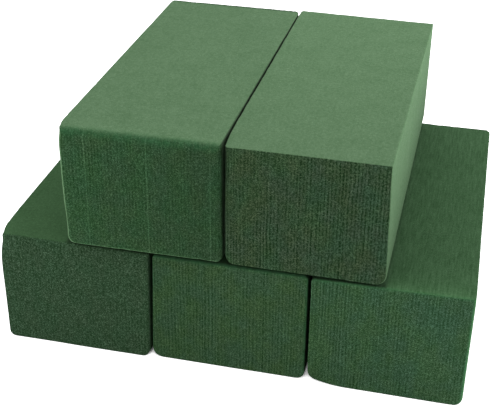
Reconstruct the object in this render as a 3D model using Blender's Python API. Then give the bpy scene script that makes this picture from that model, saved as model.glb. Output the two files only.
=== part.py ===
"""Five floral foam bricks, stacked three below and two above, each one a solid block of foam.

Units are metres and +Z is up. The bricks lie side by side along X with their cut ends at -Y and +Y.
The origin is on the ground, under the middle of the stack's bounding box.
"""

import math
from dataclasses import dataclass, field

import bmesh
import bpy
from mathutils import Vector

BRICK_LENGTH = 0.230
BRICK_HEIGHT = 0.080
BRICK_WIDTH = 0.099  # the usual width: each brick's own is a little more or less

ROW_GAP = 0.0003  # between the lower and the upper row
UPPER_ROW_SHIFT = -0.0035  # the upper row's middle lies this far along X from the lower row's

SHARP_EDGE = 0.0006  # radius of an edge that has no radius of its own
ARC_STEPS = 8  # faces in a quarter turn of an edge's rounding
SMOOTH_ANGLE = math.radians(40)

FOAM_ROUGHNESS = 0.95

# Each side's axis, and whether it is at the axis's low or high end.
SIDES = {
    "left": (0, -1),
    "right": (0, 1),
    "front": (1, -1),
    "back": (1, 1),
    "bottom": (2, -1),
    "top": (2, 1),
}
# A brick's long edges, counterclockwise in a front view.
OUTLINE_CORNERS = [("top", "right"), ("top", "left"), ("bottom", "left"), ("bottom", "right")]


@dataclass
class Brick:
    """One brick's own size and shape.

    An edge or a corner is named by its sides: front or back, then top or bottom, then left or right.
    """

    name: str
    colour: tuple
    width: float
    gap: float = 0.0  # between it and its neighbour on the left
    set_back: float = 0.0  # how far its front end lies behind the foremost brick's
    corner_shifts: dict = field(default_factory=dict)  # corner name to how far it is off the true box
    edge_radii: dict = field(default_factory=dict)  # edge name to radius

    def size(self):
        return Vector((self.width, BRICK_LENGTH, BRICK_HEIGHT))

    def radius(self, *sides):
        return self.edge_radii.get("_".join(sides), SHARP_EDGE)


LOWER_ROW = [
    Brick(
        name="bottom_left_brick",
        colour=(0.045, 0.105, 0.043),
        width=BRICK_WIDTH + 0.0008,
        corner_shifts={"front_top_right": (-0.0005, 0, -0.001), "front_bottom_right": (-0.0018, 0, 0)},
        edge_radii={
            "bottom_left": 0.004,
            "bottom_right": 0.0045,
            "front_top": 0.003,
            "front_left": 0.0015,
            "front_right": 0.002,
        },
    ),
    Brick(
        name="bottom_middle_brick",
        colour=(0.047, 0.118, 0.044),
        width=BRICK_WIDTH - 0.0004,
        gap=0.0017,
        set_back=0.002,
        corner_shifts={
            "front_top_left": (0.0003, 0, -0.0014),
            "front_bottom_left": (-0.0018, 0, 0),
            "front_top_right": (0, 0, -0.0014),
        },
        edge_radii={
            "bottom_left": 0.0065,
            "bottom_right": 0.0055,
            "top_left": 0.002,
            "top_right": 0.0035,
            "front_top": 0.0025,
            "front_right": 0.0015,
        },
    ),
    Brick(
        name="bottom_right_brick",
        colour=(0.052, 0.128, 0.049),
        width=BRICK_WIDTH - 0.0016,
        gap=0.002,
        corner_shifts={
            "front_top_left": (0, 0, -0.0012),
            "front_top_right": (0, 0, 0.0004),
            "back_top_right": (-0.002, 0, 0),
            "back_bottom_right": (-0.002, 0, 0),
        },
        edge_radii={
            "bottom_left": 0.005,
            "bottom_right": 0.0055,
            "top_left": 0.002,
            "front_top": 0.0018,
            "front_right": 0.002,
            "back_right": 0.006,
        },
    ),
]

UPPER_ROW = [
    Brick(
        name="top_left_brick",
        colour=(0.105, 0.180, 0.098),
        width=BRICK_WIDTH + 0.0026,
        set_back=0.0005,
        corner_shifts={
            "front_bottom_left": (0.0005, 0, -0.0003),
            "front_top_right": (-0.0012, 0, 0),
            "front_bottom_right": (-0.0005, 0, 0.0005),
            "back_top_left": (0.003, 0, 0),
            "back_bottom_left": (0.003, 0, 0),
            "back_top_right": (0.0009, 0, 0),
            "back_bottom_right": (0.0009, 0, 0),
        },
        edge_radii={
            "front_top": 0.0055,
            "front_bottom": 0.0012,
            "front_left": 0.0035,
            "front_right": 0.0035,
            "bottom_left": 0.005,
            "bottom_right": 0.003,
            "back_left": 0.004,
            "back_right": 0.006,
        },
    ),
    Brick(
        name="top_right_brick",
        colour=(0.118, 0.205, 0.112),
        width=BRICK_WIDTH + 0.0001,
        gap=0.001,
        set_back=0.0003,
        corner_shifts={
            "front_top_left": (-0.0012, 0, 0),
            "front_bottom_left": (-0.0005, 0, 0.0007),
            "front_top_right": (-0.0023, 0, 0),
            "front_bottom_right": (-0.0003, 0, 0.0003),
            "back_top_left": (0.0004, 0.0025, 0),
            "back_bottom_left": (0.0004, 0.0025, 0),
        },
        edge_radii={
            "front_left": 0.005,
            "front_right": 0.0015,
            "bottom_left": 0.006,
            "bottom_right": 0.007,
            "back_left": 0.004,
        },
    ),
]


def clear_scene():
    for obj in list(bpy.data.objects):
        bpy.data.objects.remove(obj)


def foam_material(brick):
    """Dull, dry phenolic foam in the brick's own green."""
    material = bpy.data.materials.new(brick.name.replace("_brick", "_foam"))
    material.use_nodes = True
    shader = material.node_tree.nodes["Principled BSDF"]
    shader.inputs["Base Color"].default_value = (*brick.colour, 1.0)
    shader.inputs["Roughness"].default_value = FOAM_ROUGHNESS
    shader.inputs["Metallic"].default_value = 0.0
    material.diffuse_color = (*brick.colour, 1.0)
    return material


def outline(brick, end, turn):
    """The brick's outline part of the way round the edges of one end: a rectangle with rounded corners.

    At turn 0 it lies on the brick's long sides, and at 90 degrees it bounds the end face.
    """
    points = []
    for corner, (level, side) in enumerate(OUTLINE_CORNERS):
        radius = brick.radius(level, side)
        middle = Vector()
        for name in (level, side):
            axis, sign = SIDES[name]
            inset = brick.radius(end, name) * (1 - math.cos(turn))
            middle[axis] = sign * (brick.size()[axis] / 2 - inset - radius)
        for step in range(ARC_STEPS + 1):
            angle = math.radians(90) * (corner + step / ARC_STEPS)
            along_x = math.cos(angle)
            along_z = math.sin(angle)
            rounding = brick.radius(end, side) * along_x**2 + brick.radius(end, level) * along_z**2
            from_middle = BRICK_LENGTH / 2 - rounding * (1 - math.sin(turn))
            points.append(middle + Vector((radius * along_x, SIDES[end][1] * from_middle, radius * along_z)))
    return points


def leaning(brick, point):
    """How far the shifts of the brick's corners carry a point of the true box."""
    total = Vector()
    for corner, shift in brick.corner_shifts.items():
        share = 1.0
        for side in corner.split("_"):
            axis, sign = SIDES[side]
            share *= 0.5 + sign * point[axis] / brick.size()[axis]
        total += share * Vector(shift)
    return total


def brick_mesh(brick):
    """Outlines from the front end to the back end, joined into one closed skin that stands on z = 0."""
    turns = [math.radians(90) * step / ARC_STEPS for step in range(ARC_STEPS + 1)]
    outlines = [outline(brick, "front", turn) for turn in reversed(turns)]
    outlines += [outline(brick, "back", turn) for turn in turns]
    on_ground = Vector((0, 0, BRICK_HEIGHT / 2))
    shape = bmesh.new()
    rings = []
    for points in outlines:
        rings.append([shape.verts.new(point + leaning(brick, point) + on_ground) for point in points])
    shape.faces.new(rings[0])
    shape.faces.new(reversed(rings[-1]))
    for ring, following in zip(rings, rings[1:]):
        for index in range(len(ring)):
            shape.faces.new((ring[index - 1], following[index - 1], following[index], ring[index]))
    mesh = bpy.data.meshes.new(brick.name)
    shape.to_mesh(mesh)
    shape.free()
    return mesh


def add_brick(brick, middle_x, bottom):
    """One brick, with its origin under its own middle, which is also on its joint's axis."""
    obj = bpy.data.objects.new(brick.name, brick_mesh(brick))
    bpy.context.scene.collection.objects.link(obj)
    obj.data.materials.append(foam_material(brick))
    obj.data.shade_smooth()
    obj.data.set_sharp_from_angle(angle=SMOOTH_ANGLE)
    obj.location = (middle_x, brick.set_back + (BRICK_LENGTH - stack_depth()) / 2, bottom)


def stack_depth():
    """From the foremost front end to the hindmost corner of a back end."""
    depths = []
    for brick in LOWER_ROW + UPPER_ROW:
        longest_side = max((shift[1] for shift in brick.corner_shifts.values()), default=0)
        depths.append(brick.set_back + BRICK_LENGTH + longest_side)
    return max(depths)


def row_width(row):
    return sum(brick.gap + brick.width for brick in row)


def add_row(row, middle_x, bottom):
    """Lays the bricks of a row from left to right, each a small gap away from the one before."""
    left = middle_x - row_width(row) / 2
    for brick in row:
        left += brick.gap
        add_brick(brick, left + brick.width / 2, bottom)
        left += brick.width


def build():
    clear_scene()
    add_row(LOWER_ROW, middle_x=0.0, bottom=0.0)
    add_row(UPPER_ROW, middle_x=UPPER_ROW_SHIFT, bottom=BRICK_HEIGHT + ROW_GAP)


build()
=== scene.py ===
"""Looks for five floral foam bricks, stacked three below and two above.

Each brick is a dense skin laid over its CAD solid and then worn inward: streaks of the cutting wire and open
pores on the cut ends, soft dents at knocked corners, and edges that crumble.

Lengths are in metres and angles in degrees.
"""

import itertools
import math
from dataclasses import dataclass, field

import bpy
import numpy as np
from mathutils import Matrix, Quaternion, Vector
from mathutils.bvhtree import BVHTree


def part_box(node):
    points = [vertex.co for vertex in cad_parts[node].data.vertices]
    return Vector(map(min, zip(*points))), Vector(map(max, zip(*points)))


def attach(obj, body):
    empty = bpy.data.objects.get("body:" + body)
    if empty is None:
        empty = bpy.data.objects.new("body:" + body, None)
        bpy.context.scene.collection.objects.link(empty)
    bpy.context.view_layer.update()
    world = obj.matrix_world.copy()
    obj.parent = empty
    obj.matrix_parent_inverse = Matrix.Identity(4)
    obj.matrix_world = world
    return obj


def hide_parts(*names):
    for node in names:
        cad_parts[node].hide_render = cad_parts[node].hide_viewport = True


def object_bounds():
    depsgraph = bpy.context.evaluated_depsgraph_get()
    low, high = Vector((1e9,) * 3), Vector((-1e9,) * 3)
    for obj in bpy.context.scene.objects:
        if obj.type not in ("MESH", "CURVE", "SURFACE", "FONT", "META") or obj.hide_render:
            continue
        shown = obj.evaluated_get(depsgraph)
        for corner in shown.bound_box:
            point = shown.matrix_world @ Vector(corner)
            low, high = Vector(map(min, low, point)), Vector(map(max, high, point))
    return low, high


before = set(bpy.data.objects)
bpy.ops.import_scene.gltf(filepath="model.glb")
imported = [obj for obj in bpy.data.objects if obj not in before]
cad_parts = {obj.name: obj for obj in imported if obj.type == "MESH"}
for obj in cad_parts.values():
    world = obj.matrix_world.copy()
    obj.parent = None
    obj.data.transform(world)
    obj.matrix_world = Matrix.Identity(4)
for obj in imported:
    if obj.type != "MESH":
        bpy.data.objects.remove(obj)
cad_low, cad_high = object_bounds()

MM = 0.001

# The mesh laid over a brick.
RIM = 8 * MM  # width of the zone at each edge where the mesh's points fan round the corner
RIM_STEPS = 9
RIM_CROWDING = 1.8  # above 1, the points of a rim crowd together towards the edge
STEP_ACROSS = 0.56 * MM
STEP_ALONG = 3.2 * MM
STEP_UP = 0.62 * MM

# Relief, as depths worn into the foam.
SAG = 0.2 * MM
WIRE_STREAK = 0.16 * MM
PORE = 0.07 * MM
CRUMBLE = 0.35 * MM
CRUMBLE_REACH = 3 * MM  # from an edge
FINE_CRUMBS = 0.6  # share of the crumbling that is fine, and share that is coarse
COARSE_CRUMBS = 0.4

# Streaks of the cutting wire on the cut ends.
STREAK_SPACING = 2.05 * MM
STREAK_WANDER = 0.4 * MM
STREAK_JITTER = 0.6 * MM
USUAL_STRENGTH = 0.75
LARGE_PATCH_CHANGE = 0.6  # of a streak's strength
SMALL_PATCH_CHANGE = 0.3
SINGLE_STREAK = 0.5 * MM  # half the width of a single streak

# Cell sizes of the relief's random patterns, along each axis of a brick.
SAG_CELL = (30 * MM, 40 * MM, 30 * MM)
PORE_CELL = (1.3 * MM,) * 3
FINE_CRUMB_CELL = (2.2 * MM,) * 3
COARSE_CRUMB_CELL = (6 * MM,) * 3
SCALLOP_CELL = (40 * MM, 7 * MM, 40 * MM)
WANDER_CELL = (20 * MM, 50 * MM, 15 * MM)
JITTER_CELL = (3 * MM, 50 * MM, 60 * MM)
LARGE_PATCH_CELL = (12 * MM, 50 * MM, 25 * MM)
SMALL_PATCH_CELL = (4 * MM, 50 * MM, 12 * MM)

# Tones of the foam near an end, or where bricks meet. Where bricks meet, the darker tones are painted shade.
# A tone of 1 leaves the colour as it is.
BAND_REACH = 9 * MM  # of the paler skin, from the front end
COVER_BLUR = 1.5 * MM  # of the painted shade at the edge of a brick that lies on top
HIDDEN_SHADE_TONE = 0.8  # painted shade on skin that lies against another brick, deep in the gap
GAP_SHADE_TONE = 0.2  # painted shade on the same skin at the mouth of the gap between the two
GAP_SHADE_REACH = 6 * MM  # of that painted shade, into the gap
OVERHANG_SHADOW_LOSS = 0.28  # painted shadow: the tone a front end loses straight under the brick that overhangs it
OVERHANG_SHADOW_REACH = 5 * MM  # downwards
OVERHANG_SHADOW_BLUR = 15 * MM  # sideways
USUAL_WRAP = (0.2 * MM, 0.7 * MM)  # where the cut look starts to fade round an edge, and where it ends

SIDES = {
    "left": (-1, 0, 0),
    "right": (1, 0, 0),
    "front": (0, -1, 0),
    "back": (0, 1, 0),
    "bottom": (0, 0, -1),
    "top": (0, 0, 1),
}


@dataclass
class Dent:
    """A worn place. It is deepest at its middle, and fades away over its reach along each axis."""

    middle: tuple  # as shares of the brick's box: 0 is left, front or bottom, 1 is right, back or top
    reach: tuple
    depth: float


@dataclass
class Foam:
    """One brick's colours and quirks."""

    body: str  # the body that carries the brick
    seed: int
    skin: tuple
    cut_left: tuple  # colour of the cut ends at their left edge
    cut_right: tuple
    edge_tones: dict = field(default_factory=dict)  # edge name to how much paler the foam is along it
    green_edges: dict = field(default_factory=dict)  # edge name to how strongly it shows fresh green foam
    wraps: dict = field(default_factory=dict)  # side to its own wrap, where that isn't the usual one
    streaks: float = 0.5  # how strongly the cutting wire's streaks show
    speckle: float = 1.0  # how much the open cells differ in tone
    red_patches: float = 1.0  # how strongly patches of the cut ends turn redder and greener
    blue_patches: float = 0.5  # the same, bluer and yellower
    skin_streaks: float = 0.1
    rough_edges: dict = field(default_factory=dict)  # edge name to how deep it is worn in places
    hidden_sides: tuple = ()  # sides that lie against another brick; their skin gets painted shade
    side_light_tones: dict = field(default_factory=dict)  # side to how much paler its skin is than the top's: painted light on that side
    side_ground_shade: float = 0.0  # how much darker the sides get towards the ground: painted shade
    front_band: float = 0.0  # how much paler the skin gets towards the front end
    far_light_tone: float = 1.0  # how pale the skin is at the back end: painted light
    across_shade_tones: tuple = (1.0, 1.0)  # how pale the skin is along the left and along the right edge: painted shade, darker towards the wall of the brick above
    single_streaks: dict = field(default_factory=dict)  # share of the width to strength: below 0 is dark
    top_shaded_by: tuple = ()  # nodes whose footprint on the top gets painted shade, darkest at the front
    front_shadowed_by: tuple = ()  # nodes that cast a painted shadow on the front end close under them
    dents: list = field(default_factory=list)


FOAMS = {
    "bottom_left_brick": Foam(
        body="bottom_left",
        seed=11,
        skin=(0.048, 0.114, 0.046),
        cut_left=(0.033, 0.074, 0.035),
        cut_right=(0.031, 0.069, 0.032),
        wraps={"top": (0.5 * MM, 3 * MM), "right": (2 * MM, 6 * MM)},
        streaks=0.35,
        speckle=1.35,
        red_patches=0.5,
        blue_patches=0.1,
        hidden_sides=("right",),
        far_light_tone=1.1,
        top_shaded_by=("top_left_brick",),
        front_shadowed_by=("top_left_brick",),
        dents=[Dent(middle=(0, 0, 1), reach=(7 * MM, 9 * MM, 12 * MM), depth=2.8 * MM)],
    ),
    "bottom_middle_brick": Foam(
        body="bottom_middle",
        seed=23,
        skin=(0.048, 0.114, 0.046),
        cut_left=(0.033, 0.078, 0.032),
        cut_right=(0.036, 0.083, 0.034),
        edge_tones={"front_left": 1.2},
        green_edges={"front_top": 0.4, "front_left": 0.35, "front_right": 0.5},
        streaks=0.6,
        red_patches=0.4,
        blue_patches=1.5,
        hidden_sides=("left", "right"),
        single_streaks={0.25: -0.45, 0.36: -0.3, 0.73: -0.5},
        top_shaded_by=("top_left_brick", "top_right_brick"),
        front_shadowed_by=("top_left_brick",),
    ),
    "bottom_right_brick": Foam(
        body="bottom_right",
        seed=37,
        skin=(0.038, 0.092, 0.038),
        cut_left=(0.035, 0.086, 0.036),
        cut_right=(0.037, 0.093, 0.043),
        edge_tones={"front_left": 1.3, "front_right": 1.3, "front_top": 1.1},
        green_edges={"front_top": 0.4, "front_right": 0.7},
        streaks=0.6,
        skin_streaks=0.6,
        red_patches=0.4,
        blue_patches=1.3,
        hidden_sides=("left",),
        side_light_tones={"right": 1.6},
        front_band=0.5,
        top_shaded_by=("top_right_brick",),
        across_shade_tones=(0.88, 1.08),
        dents=[
            Dent(middle=(0.93, 0, 0.06), reach=(3 * MM, 3 * MM, 2 * MM), depth=0.8 * MM),
            Dent(middle=(0, 0, 0), reach=(13 * MM, 25 * MM, 6 * MM), depth=2.6 * MM),
        ],
    ),
    "top_left_brick": Foam(
        body="top_left",
        seed=41,
        skin=(0.098, 0.184, 0.092),
        cut_left=(0.031, 0.083, 0.032),
        cut_right=(0.024, 0.063, 0.025),
        edge_tones={"front_bottom": 1.8, "front_left": 1.3},
        green_edges={"front_top": 0.45},
        wraps={
            "top": (0.3 * MM, 5 * MM),
            "left": (0.3 * MM, 0.7 * MM),
            "right": (3 * MM, 7 * MM),
            "bottom": (0.1 * MM, 0.4 * MM),
        },
        streaks=0.48,
        speckle=1.15,
        blue_patches=0.8,
        rough_edges={"top_right": 0.35 * MM},
        hidden_sides=("right",),
        side_light_tones={"left": 1.2},
        front_band=0.1,
        single_streaks={0.165: 0.75, 0.54: 0.9, 0.92: 0.7},
        dents=[
            Dent(middle=(0, 0, 0.15), reach=(5 * MM, 12 * MM, 14 * MM), depth=0.8 * MM),
            Dent(middle=(0, 0, 1), reach=(5 * MM, 7 * MM, 7 * MM), depth=1.6 * MM),
        ],
    ),
    "top_right_brick": Foam(
        body="top_right",
        seed=59,
        skin=(0.096, 0.180, 0.090),
        cut_left=(0.031, 0.065, 0.028),
        cut_right=(0.030, 0.063, 0.029),
        edge_tones={"front_bottom": 1.6},
        wraps={"left": (1.5 * MM, 4 * MM), "right": (0.25 * MM, 0.6 * MM)},
        streaks=0.85,
        speckle=1.3,
        red_patches=1.3,
        blue_patches=1.2,
        rough_edges={"top_left": 0.2 * MM},
        hidden_sides=("left",),
        side_light_tones={"right": 1.36},
        side_ground_shade=0.36,
        far_light_tone=1.12,
        single_streaks={0.46: -0.5, 0.71: -0.6},
        dents=[Dent(middle=(0, 0, 1), reach=(6 * MM, 12 * MM, 32 * MM), depth=1.3 * MM)],
    ),
}


# ---------------------------------------------------------------- noise and small sums


def eased(share):
    """A share from 0 to 1, with its rise softened at both ends."""
    return share * share * (3 - 2 * share)


def ramp(values, low, high):
    """Smooth rise from 0 at low to 1 at high."""
    return eased(np.clip((values - low) / (high - low), 0, 1))


def smooth_noise(points, cell, rng):
    """Smooth random values from -1 to 1, which change over about one cell: a length for each axis."""
    grid = points / np.asarray(cell, float)
    base = np.floor(grid).astype(int)
    blend = eased(grid - base)
    base -= base.min(axis=0)
    lattice = rng.uniform(-1, 1, base.max(axis=0) + 2)
    total = np.zeros(len(points))
    for corner in itertools.product((0, 1), repeat=3):
        weight = np.where(corner, blend, 1 - blend).prod(axis=1)
        total += weight * lattice[tuple((base + corner).T)]
    return total


# ---------------------------------------------------------------- the mesh of a brick


def stations(low, high, step):
    """Grid lines along one side of a brick: crowded towards both edges, evenly spaced between the rims."""
    rim = RIM * np.linspace(0, 1, RIM_STEPS + 1) ** RIM_CROWDING
    count = round((high - low - 2 * RIM) / step)
    middle = np.linspace(low + RIM, high - RIM, count + 1)
    return np.concatenate([low + rim[:-1], middle, high - rim[-2::-1]])


def box_grid(lines):
    """Points and faces of a closed box whose sides are divided at the given lines of each axis."""
    counts = [len(line) for line in lines]
    ids = np.arange(np.prod(counts)).reshape(counts)
    faces = []
    for axis in range(3):
        for at_high in (False, True):
            side = np.take(ids, -1 if at_high else 0, axis=axis)
            quads = np.stack([side[:-1, :-1], side[1:, :-1], side[1:, 1:], side[:-1, 1:]], axis=-1)
            quads = quads.reshape(-1, 4)
            turned = at_high == (axis == 1)
            faces.append(quads[:, ::-1] if turned else quads)
    used, faces = np.unique(np.concatenate(faces), return_inverse=True)
    where = np.unravel_index(used, counts)
    points = np.stack([line[index] for line, index in zip(lines, where)], axis=1)
    return points, faces.reshape(-1, 4)


def outward(points, low, high):
    """Starts inside a box, and unit directions through the points on it.

    The directions fan out round the edges of the box, and point straight out of its sides elsewhere.
    """
    inner = np.clip(points, low + RIM, high - RIM)
    out = points - inner
    return inner, out / np.linalg.norm(out, axis=1)[:, None]


def laid_over(node, starts, directions):
    """Where rays from inside a CAD node meet its surface."""
    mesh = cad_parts[node].data
    corners = [vertex.co for vertex in mesh.vertices]
    tree = BVHTree.FromPolygons(corners, [polygon.vertices[:] for polygon in mesh.polygons])
    hits = [tree.ray_cast(Vector(start), Vector(ray))[0] for start, ray in zip(starts, directions)]
    return np.array(hits)


def mesh_from(name, points, faces):
    mesh = bpy.data.meshes.new(name)
    mesh.vertices.add(len(points))
    mesh.vertices.foreach_set("co", points.astype(np.float32).ravel())
    mesh.loops.add(faces.size)
    mesh.loops.foreach_set("vertex_index", faces.astype(np.int32).ravel())
    mesh.polygons.add(len(faces))
    mesh.polygons.foreach_set("loop_start", np.arange(0, faces.size, 4, dtype=np.int32))
    mesh.polygons.foreach_set("use_smooth", np.ones(len(faces), bool))
    mesh.update(calc_edges=True)
    return mesh


def vertex_normals(mesh):
    normals = np.empty(len(mesh.vertices) * 3, np.float32)
    mesh.vertex_normals.foreach_get("vector", normals)
    return normals.reshape(-1, 3).astype(float)


def nearness_to_edge(points, low, high):
    """1 at the edges of the box, and 0 beyond the reach of the crumbling."""
    from_sides = np.sort(np.minimum(points - low, high - points), axis=1)
    return 1 - ramp(from_sides[:, 1], 0, CRUMBLE_REACH)


def worn_edge(points, low, high, edge, rng):
    """Scallops from 0 to 1 along one edge of the brick."""
    from_edge = np.zeros(len(points))
    for side in edge.split("_"):
        axis = np.flatnonzero(SIDES[side])[0]
        end = high if SIDES[side][axis] > 0 else low
        from_edge = np.maximum(from_edge, np.abs(end[axis] - points[:, axis]))
    scallops = smooth_noise(points, SCALLOP_CELL, rng)
    return (1 - ramp(from_edge, 0, CRUMBLE_REACH)) * ramp(scallops, -0.6, 0.7)


def streak_phase(points, low, rng):
    """How many streaks lie to the left of each point on a cut end. The streaks wander and vary in width."""
    wander = STREAK_WANDER * smooth_noise(points, WANDER_CELL, rng)
    jitter = STREAK_JITTER * smooth_noise(points, JITTER_CELL, rng)
    return (points[:, 0] - low[0] + wander + jitter) / STREAK_SPACING


def streak_strength(points, foam, rng):
    """Strong in some patches of a cut end and nearly gone in others."""
    large = LARGE_PATCH_CHANGE * smooth_noise(points, LARGE_PATCH_CELL, rng)
    small = SMALL_PATCH_CHANGE * smooth_noise(points, SMALL_PATCH_CELL, rng)
    return foam.streaks * np.clip(USUAL_STRENGTH + large + small, 0.1, 1.5)


def dented(points, low, high, dents):
    """How deep the dents go at each point."""
    depth = np.zeros(len(points))
    for dent in dents:
        middle = low + (high - low) * np.array(dent.middle)
        depth += dent.depth * np.exp(-(((points - middle) / np.array(dent.reach)) ** 2).sum(axis=1))
    return depth


def facing(normals, side):
    """1 where the surface faces that side, 0 where it faces across it or away."""
    return np.clip(normals @ SIDES[side], 0, 1)


def mostly_facing(normals, side):
    """1 on that side, fading to 0 over the roundings at its edges."""
    return ramp(facing(normals, side), 0.3, 0.9)


def along_edges(normals, strengths):
    """The strength of each named edge, reached half way round it: 0 on the flat sides."""
    total = np.zeros(len(normals))
    for edge, strength in strengths.items():
        one, other = edge.split("_")
        total += strength * 2 * facing(normals, one) * facing(normals, other)
    return total


def covered(points, nodes):
    """1 under the named bricks, and 0 beside them."""
    share = np.zeros(len(points))
    for node in nodes:
        low, high = (np.array(corner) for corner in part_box(node))
        inside = np.minimum(points - low, high - points)[:, :2].min(axis=1)
        share = np.maximum(share, ramp(inside, -COVER_BLUR, COVER_BLUR))
    return share


def sheltered(points, normals, nodes):
    """Painted shadow: 1 at the top of a front end, straight under a named brick. It fades downwards and
    sideways.
    """
    share = np.zeros(len(points))
    for node in nodes:
        low, high = (np.array(corner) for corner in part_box(node))
        inside = np.minimum(points[:, 0] - low[0], high[0] - points[:, 0])
        under = np.exp((points[:, 2] - low[2]) / OVERHANG_SHADOW_REACH)
        share = np.maximum(share, ramp(inside, 0, OVERHANG_SHADOW_BLUR) * under)
    return share * facing(normals, "front")


def cut_look(points, normals, low, high, wraps):
    """1 on the cut ends. It fades to 0 round their edges, over distances that differ for each side.

    The tiny amounts keep the divisions safe on the cut ends, which face none of the four sides.
    """
    shares = {side: facing(normals, side) ** 2 for side in ("left", "right", "bottom", "top")}
    total = sum(shares.values()) + 1e-9
    start = sum(share * wraps.get(side, USUAL_WRAP)[0] for side, share in shares.items()) / total
    stop = sum(share * wraps.get(side, USUAL_WRAP)[1] for side, share in shares.items()) / total
    from_end = np.minimum(points[:, 1] - low[1], high[1] - points[:, 1])
    wrapped = 1 - ramp(from_end, start, np.maximum(stop, start + 1e-6))
    return np.maximum(wrapped, ramp(np.abs(normals[:, 1]), 0.9, 0.98))


def painted_gap_shade(from_mouth):
    """Painted shade on skin that lies against another brick, at a distance from the mouth of the gap between
    them.
    """
    return HIDDEN_SHADE_TONE - (HIDDEN_SHADE_TONE - GAP_SHADE_TONE) * np.exp(-from_mouth / GAP_SHADE_REACH)


def skin_tone_light_and_shade(points, normals, low, high, foam):
    """How much paler the skin is than its usual colour. Apart from the paler band at the front, this is
    painted light on the paler sides and back end, and painted shade in the gaps, under the bricks on top,
    towards the ground and beside the brick above.
    """
    across, along, height = ((points - low) / (high - low)).T
    tone = 1 + foam.front_band * np.exp(-(points[:, 1] - low[1]) / BAND_REACH)
    # Painted shade along the edge beside the brick above, and painted light towards the back end.
    tone *= np.interp(across, (0, 1), foam.across_shade_tones) * np.interp(along, (0, 1), (1, foam.far_light_tone))
    from_mouth = np.minimum(points[:, 1] - low[1], high[2] - points[:, 2])
    # Painted shade on the skin in the gaps between bricks, darkest at each gap's mouth.
    for side in foam.hidden_sides:
        tone *= 1 - (1 - painted_gap_shade(from_mouth)) * mostly_facing(normals, side)
    # Painted light on the sides that are paler than the top.
    for side, paleness in foam.side_light_tones.items():
        tone *= 1 + (paleness - 1) * mostly_facing(normals, side)
    # Painted shade on the top under the bricks that lie on it, darkest at the front seam.
    under = covered(points, foam.top_shaded_by) * ramp(facing(normals, "top"), 0.2, 0.7)
    tone *= 1 - (1 - painted_gap_shade(points[:, 1] - low[1])) * under
    # Painted shade on the sides, darker towards the ground.
    return tone * (1 - foam.side_ground_shade * np.abs(normals[:, 0]) * (1 - height))


def add_attribute(mesh, name, values):
    attribute = mesh.attributes.new(name, "FLOAT", "POINT")
    attribute.data.foreach_set("value", values.astype(np.float32))


def brick_piece(node, foam):
    """The visible brick that stands for a CAD node."""
    rng = np.random.default_rng(foam.seed)
    low, high = (np.array(corner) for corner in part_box(node))
    steps = (STEP_ACROSS, STEP_ALONG, STEP_UP)
    grid, faces = box_grid([stations(low[axis], high[axis], steps[axis]) for axis in range(3)])
    inner, out = outward(grid, low, high)
    points = laid_over(node, inner, out)
    name = node.replace("_brick", "_foam")
    mesh = mesh_from(name, points, faces)
    normals = vertex_normals(mesh)

    cut = cut_look(points, normals, low, high, foam.wraps)
    phase = streak_phase(points, low, rng)
    strength = streak_strength(points, foam, rng)
    crumbs = FINE_CRUMBS * smooth_noise(points, FINE_CRUMB_CELL, rng)
    crumbs += COARSE_CRUMBS * smooth_noise(points, COARSE_CRUMB_CELL, rng)
    depth = SAG * (0.5 + 0.5 * smooth_noise(points, SAG_CELL, rng))
    depth += cut * WIRE_STREAK * (0.5 - 0.5 * strength * np.cos(2 * math.pi * phase))
    depth += cut * PORE * ramp(smooth_noise(points, PORE_CELL, rng), 0.1, 0.8)
    above_ground = ramp(grid[:, 2] - cad_low.z, 0, CRUMBLE_REACH)
    depth += nearness_to_edge(grid, low, high) * above_ground * CRUMBLE * ramp(crumbs, 0, 0.9)
    for edge, wear in foam.rough_edges.items():
        depth += wear * worn_edge(grid, low, high, edge, rng)
    depth += dented(points, low, high, foam.dents)
    mesh.vertices.foreach_set("co", (points - out * depth[:, None]).astype(np.float32).ravel())
    mesh.update()

    add_attribute(mesh, "cut", cut)
    add_attribute(mesh, "across", (points[:, 0] - low[0]) / (high[0] - low[0]))
    add_attribute(mesh, "streak_phase", phase)
    add_attribute(mesh, "streak_strength", strength)
    add_attribute(mesh, "green_edge", along_edges(normals, foam.green_edges))
    paler = {edge: tone - 1 for edge, tone in foam.edge_tones.items()}
    # Painted shadow on the front end under an overhanging brick, carried in the edge tone together with the
    # paler edges.
    overhang_shadow_tone = 1 - OVERHANG_SHADOW_LOSS * sheltered(points, normals, foam.front_shadowed_by)
    add_attribute(mesh, "edge_tone", overhang_shadow_tone * (1 + along_edges(normals, paler)))
    add_attribute(mesh, "skin_tone_light_and_shade", skin_tone_light_and_shade(points, normals, low, high, foam))
    mesh.materials.append(foam_material(name, foam, width=high[0] - low[0]))

    piece = bpy.data.objects.new(name, mesh)
    bpy.context.scene.collection.objects.link(piece)
    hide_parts(node)
    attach(piece, foam.body)


# ---------------------------------------------------------------- materials


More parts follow.
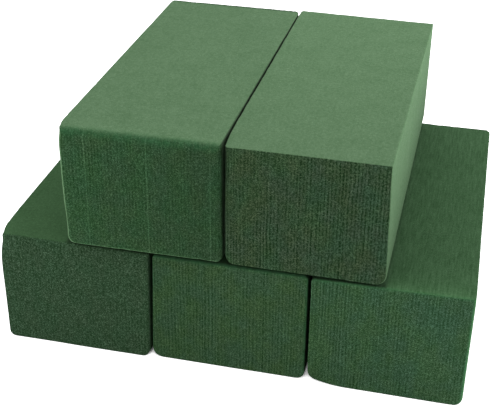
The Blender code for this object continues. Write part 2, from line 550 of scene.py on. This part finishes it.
class Graph:
    """Short names for the few shader nodes used here."""

    def __init__(self, material, shift):
        self.tree = material.node_tree
        self.place = self.add("ShaderNodeTexCoord").outputs["Object"]
        self.shift = shift  # moves every pattern, so that no two bricks match

    def add(self, kind, **inputs):
        node = self.tree.nodes.new(kind)
        for name, value in inputs.items():
            self.set_input(node.inputs[name.replace("_", " ")], value)
        return node

    def set_input(self, socket, value):
        if isinstance(value, bpy.types.NodeSocket):
            self.tree.links.new(value, socket)
        else:
            socket.default_value = value

    def attribute(self, name):
        node = self.add("ShaderNodeAttribute")
        node.attribute_name = name
        return node.outputs["Fac"]

    def stretched(self, cell):
        """The place on the brick, counted in cells of the given size along each axis."""
        node = self.add("ShaderNodeMapping", Vector=self.place)
        node.inputs["Scale"].default_value = [1 / length for length in cell]
        node.inputs["Location"].default_value = self.shift
        return node.outputs["Vector"]

    def noise(self, cell, detail=2.0):
        """Smooth noise from -1 to 1, mostly within -0.5 to 0.5."""
        node = self.add("ShaderNodeTexNoise", Vector=self.stretched(cell), Scale=1.0, Detail=detail)
        return self.remap(node.outputs["Fac"], 0, 1, -1, 1)

    def cells(self, size):
        """Foam cells: the distance from the nearest one's middle, and its own random number from 0 to 1."""
        node = self.add("ShaderNodeTexVoronoi", Vector=self.stretched((size,) * 3), Scale=1.0)
        parts = self.add("ShaderNodeSeparateColor", Color=node.outputs["Color"])
        return node.outputs["Distance"], parts.outputs["Red"]

    def remap(self, value, low, high, to_low=0.0, to_high=1.0):
        node = self.add("ShaderNodeMapRange", Value=value)
        for name, limit in (("From Min", low), ("From Max", high), ("To Min", to_low), ("To Max", to_high)):
            self.set_input(node.inputs[name], limit)
        return node.outputs["Result"]

    def math(self, operation, first, second):
        node = self.add("ShaderNodeMath")
        node.operation = operation
        self.set_input(node.inputs[0], first)
        self.set_input(node.inputs[1], second)
        return node.outputs["Value"]

    def times(self, first, second):
        return self.math("MULTIPLY", first, second)

    def sum(self, *values):
        total = values[0]
        for value in values[1:]:
            total = self.math("ADD", total, value)
        return total

    def mix(self, share, first, second):
        node = self.add("ShaderNodeMix")
        node.data_type = "RGBA"
        factor = next(socket for socket in node.inputs if socket.name == "Factor" and socket.type == "VALUE")
        colours = [socket for socket in node.inputs if socket.type == "RGBA"]
        self.set_input(factor, share)
        self.set_input(colours[0], first)
        self.set_input(colours[1], second)
        return next(socket for socket in node.outputs if socket.type == "RGBA")

    def shaded(self, colour, tone):
        """The colour made paler or darker: a tone of 1 leaves it as it is."""
        node = self.add("ShaderNodeVectorMath", Vector=colour)
        node.operation = "SCALE"
        self.set_input(node.inputs["Scale"], tone)
        return node.outputs["Vector"]

    def grained(self, colour, tone):
        """The colour made paler or darker by a fine grain: pale cells are greyer, and dark ones greener."""
        node = self.add("ShaderNodeVectorMath")
        node.operation = "MULTIPLY_ADD"
        self.set_input(node.inputs[0], self.sum(tone, -1.0))
        self.set_input(node.inputs[1], GRAIN_TINT)
        self.set_input(node.inputs[2], (1, 1, 1))
        return self.tinted(colour, node.outputs["Vector"])

    def tinted(self, colour, tint):
        """The colour times the tint, channel by channel."""
        node = self.add("ShaderNodeVectorMath")
        node.operation = "MULTIPLY"
        self.set_input(node.inputs[0], colour)
        self.set_input(node.inputs[1], tint)
        return node.outputs["Vector"]

    def solid(self, colour):
        node = self.add("ShaderNodeRGB")
        node.outputs[0].default_value = (*colour, 1.0)
        return node.outputs[0]


SPECK_COLOUR = (0.12, 0.19, 0.13)
FRESH_GREEN = (0.035, 0.14, 0.055)
FOAM_ROUGHNESS = (0.88, 1.0)  # of the smoothest and of the roughest cells
FOAM_SPECULAR = 0.15
BUMP_DEPTH = 0.2 * MM
BUMP_STRENGTH = 0.3
GRAIN_TINT = (1.05, 0.75, 1.05)  # how far the grain moves each channel
RED_PATCH = Vector((0.07, -0.02, 0.01))  # how much more of each channel a red patch has
BLUE_PATCH = Vector((-0.02, -0.01, 0.07))

# Sizes of the materials' patterns. A cell has a length for each axis of a brick.
CELL_SIZE = 0.44 * MM
SPECK_SIZE = 1.7 * MM
RED_PATCH_SIZE = 11 * MM
BLUE_PATCH_SIZE = 13 * MM
PATCH_STRETCH = 1.5  # upwards
SKIN_MOTTLE_CELL = (16 * MM,) * 3
SKIN_GRAIN_CELL = (2.0 * MM,) * 3
SKIN_STREAK_CELL = (1.1 * MM, 14 * MM, 1.1 * MM)
CUT_MOTTLE_CELL = (9 * MM,) * 3
FINE_STREAK_CELL = (0.8 * MM, 40 * MM, 22 * MM)
RAGGED_CELL = (1.2 * MM,) * 3
GREEN_PATCH_CELL = (3 * MM,) * 3
BUMP_CELL = (0.6 * MM,) * 3

# How strongly each pattern changes the tone.
SKIN_MOTTLE = 0.14
SKIN_GRAIN = 0.30
SKIN_CELLS = 0.18
CUT_MOTTLE = 0.05
CUT_CELLS = 0.72
WIRE_CONTRAST = 0.42
FINE_STREAKS = 0.5
SPECK_SHARE = 0.24
RAGGEDNESS = 0.3  # of the boundary between the skin and the cut ends


def skin_colour(graph, foam, cell_tone):
    """Dusty, smooth skin: faint mottling, and faint streaks along the brick."""
    mottle = graph.noise(SKIN_MOTTLE_CELL, detail=3.0)
    grain = graph.noise(SKIN_GRAIN_CELL)
    streaks = graph.noise(SKIN_STREAK_CELL)
    tone = graph.sum(
        1.0,
        graph.times(mottle, SKIN_MOTTLE),
        graph.times(grain, SKIN_GRAIN),
        graph.times(streaks, foam.skin_streaks),
        graph.times(cell_tone, SKIN_CELLS),
    )
    # The skin tone carries painted light and painted shade.
    return graph.shaded(graph.grained(graph.solid(foam.skin), tone), graph.attribute("skin_tone_light_and_shade"))


def wire_marks(graph, foam, width):
    """How much paler or darker the cutting wire left a cut end: regular streaks, and a few single lines."""
    across = graph.attribute("across")
    wave = graph.math("COSINE", graph.times(graph.attribute("streak_phase"), 2 * math.pi), 0)
    marks = graph.times(graph.times(wave, graph.attribute("streak_strength")), WIRE_CONTRAST)
    for share, strength in foam.single_streaks.items():
        off = graph.math("ABSOLUTE", graph.sum(across, -share), 0)
        marks = graph.sum(marks, graph.remap(off, 0, SINGLE_STREAK / width, strength, 0))
    return marks


def patched(graph, colour, change, size):
    """The colour, changed one way in some patches and the opposite way in the others."""
    share = graph.remap(graph.noise((size, size, PATCH_STRETCH * size)), -0.25, 0.25)
    usual = Vector((1, 1, 1))
    return graph.tinted(colour, graph.mix(share, graph.solid(usual - change), graph.solid(usual + change)))


def cut_colour(graph, foam, cell_tone, width):
    """Open cells on the cut ends: a random tone for each cell, the wire's streaks, and a few pale specks."""
    mottle = graph.noise(CUT_MOTTLE_CELL, detail=3.0)
    fine_streaks = graph.noise(FINE_STREAK_CELL, detail=1.0)
    tone = graph.sum(
        1.0,
        graph.times(mottle, CUT_MOTTLE),
        graph.times(cell_tone, CUT_CELLS * foam.speckle),
        wire_marks(graph, foam, width),
        graph.times(fine_streaks, FINE_STREAKS * foam.streaks),
    )
    base = graph.mix(graph.attribute("across"), graph.solid(foam.cut_left), graph.solid(foam.cut_right))
    base = patched(graph, base, foam.red_patches * RED_PATCH, RED_PATCH_SIZE)
    base = patched(graph, base, foam.blue_patches * BLUE_PATCH, BLUE_PATCH_SIZE)
    # A speck is the middle of a large cell, and only the cells with the highest chances have one.
    distance, chance = graph.cells(SPECK_SIZE)
    specks = graph.times(graph.remap(distance, 0.3, 0.15), graph.remap(chance, 0.6, 0.85))
    return graph.mix(graph.times(specks, SPECK_SHARE), graph.grained(base, tone), graph.solid(SPECK_COLOUR))


def foam_material(name, foam, width):
    """Dry phenolic foam, dull all over, with a ragged boundary between its skin and its cut ends."""
    material = bpy.data.materials.new(name)
    material.use_nodes = True
    graph = Graph(material, shift=(foam.seed * 1.7, foam.seed * 0.9, foam.seed * 2.3))
    shader = material.node_tree.nodes["Principled BSDF"]

    # Most cells are a little darker than the foam's usual colour, and a few are much paler.
    distance, chance = graph.cells(CELL_SIZE)
    cell_tone = graph.remap(graph.math("POWER", chance, 3), 0, 1, -0.6, 1.8)
    ragged = graph.sum(graph.attribute("cut"), graph.times(graph.noise(RAGGED_CELL), RAGGEDNESS))
    is_cut = graph.remap(ragged, 0.1, 0.9)
    skin = skin_colour(graph, foam, cell_tone)
    colour = graph.mix(is_cut, skin, cut_colour(graph, foam, cell_tone, width))
    patchy = graph.remap(graph.noise(GREEN_PATCH_CELL), -0.3, 0.3, 0.4, 1.0)
    fresh = graph.times(graph.attribute("green_edge"), patchy)
    colour = graph.mix(fresh, colour, graph.solid(FRESH_GREEN))
    # The edge tone holds the paler edges and the painted shadow under an overhanging brick.
    colour = graph.shaded(colour, graph.attribute("edge_tone"))

    height = graph.sum(graph.times(distance, -0.5), graph.times(cell_tone, is_cut), graph.noise(BUMP_CELL))
    bump = graph.add("ShaderNodeBump", Strength=BUMP_STRENGTH, Distance=BUMP_DEPTH, Height=height)
    graph.set_input(shader.inputs["Base Color"], colour)
    graph.set_input(shader.inputs["Roughness"], graph.remap(chance, 0, 1, *FOAM_ROUGHNESS))
    graph.set_input(shader.inputs["Normal"], bump.outputs["Normal"])
    shader.inputs["Specular IOR Level"].default_value = FOAM_SPECULAR
    return material


# ---------------------------------------------------------------- the studio

FLOOR_REACH = 6.0
FLOOR_COLOUR = (0.95, 0.95, 0.95, 1)
FLOOR_GLOW = 0.9  # keeps the pale floor white beside the bricks, though not in the gaps under them
GLOW_SHELTER = 15 * MM  # how near foam has to be to weaken the floor's glow
GLOW_OPENNESS = (0.07, 0.27)  # how open the floor is where the glow starts, and where it is full
WORLD_STRENGTH = 0.95
KEY_AZIMUTH = 125
KEY_ELEVATION = 38
KEY_DISTANCE = 0.9
KEY_SIZE = 0.8
KEY_POWER = 3

# The camera's place, seen from the middle of the stack.
CAMERA_AZIMUTH = 13.19
CAMERA_ELEVATION = 30.07
CAMERA_ROLL = 0.61
CAMERA_DISTANCE = 753.8 * MM
CAMERA_AIM_OFF_MIDDLE = Vector((-12.96, -13.15, -16.07)) * MM
CAMERA_LENS = 79.5  # Blender counts the lens and the sensor in millimetres
CAMERA_SENSOR = 36.0


def direction(azimuth, elevation):
    """Unit vector towards an azimuth (0 is -Y, 90 is +X) and an elevation, in degrees."""
    turn = math.radians(azimuth)
    rise = math.radians(elevation)
    return Vector((math.sin(turn) * math.cos(rise), -math.cos(turn) * math.cos(rise), math.sin(rise)))


def placed(obj, target, toward, distance, roll=0.0):
    """Puts a lamp or a camera at a distance from the target, looking back at it."""
    bpy.context.scene.collection.objects.link(obj)
    obj.location = target + toward * distance
    obj.rotation_mode = "QUATERNION"
    obj.rotation_quaternion = toward.to_track_quat("Z", "Y")
    obj.rotation_quaternion.rotate(Quaternion(toward, math.radians(roll)))


def add_floor(middle):
    mesh = bpy.data.meshes.new("floor")
    corners = []
    for x, y in ((-1, -1), (1, -1), (1, 1), (-1, 1)):
        corners.append((middle.x + x * FLOOR_REACH, middle.y + y * FLOOR_REACH, cad_low.z))
    mesh.from_pydata(corners, [], [(0, 1, 2, 3)])
    material = bpy.data.materials.new("pale_floor")
    material.use_nodes = True
    shader = material.node_tree.nodes["Principled BSDF"]
    shader.inputs["Base Color"].default_value = FLOOR_COLOUR
    shader.inputs["Roughness"].default_value = 1.0
    shader.inputs["Specular IOR Level"].default_value = 0.0
    shader.inputs["Emission Color"].default_value = (1, 1, 1, 1)
    graph = Graph(material, shift=(0, 0, 0))
    openness = graph.add("ShaderNodeAmbientOcclusion", Distance=GLOW_SHELTER).outputs["AO"]
    seen = graph.add("ShaderNodeLightPath").outputs["Is Camera Ray"]
    glow = graph.times(seen, graph.remap(openness, *GLOW_OPENNESS, 0.0, FLOOR_GLOW))
    graph.set_input(shader.inputs["Emission Strength"], glow)
    mesh.materials.append(material)
    floor = bpy.data.objects.new("floor", mesh)
    bpy.context.scene.collection.objects.link(floor)


def add_world():
    world = bpy.data.worlds.new("studio")
    bpy.context.scene.world = world
    world.use_nodes = True
    background = world.node_tree.nodes["Background"]
    background.inputs["Color"].default_value = (1, 1, 1, 1)
    background.inputs["Strength"].default_value = WORLD_STRENGTH


def add_key_light(middle):
    light = bpy.data.lights.new("key", "AREA")
    light.shape = "SQUARE"
    light.size = KEY_SIZE
    light.energy = KEY_POWER
    placed(bpy.data.objects.new("key", light), middle, direction(KEY_AZIMUTH, KEY_ELEVATION), KEY_DISTANCE)


def add_camera(middle):
    data = bpy.data.cameras.new("camera")
    data.lens = CAMERA_LENS
    data.sensor_width = CAMERA_SENSOR
    camera = bpy.data.objects.new("camera", data)
    toward = direction(CAMERA_AZIMUTH, CAMERA_ELEVATION)
    placed(camera, middle + CAMERA_AIM_OFF_MIDDLE, toward, CAMERA_DISTANCE, CAMERA_ROLL)
    bpy.context.scene.camera = camera


bpy.context.scene.view_settings.view_transform = "Standard"
for node, foam in FOAMS.items():
    brick_piece(node, foam)
stack_middle = (cad_low + cad_high) / 2
add_floor(stack_middle)
add_world()
add_key_light(stack_middle)
add_camera(stack_middle)
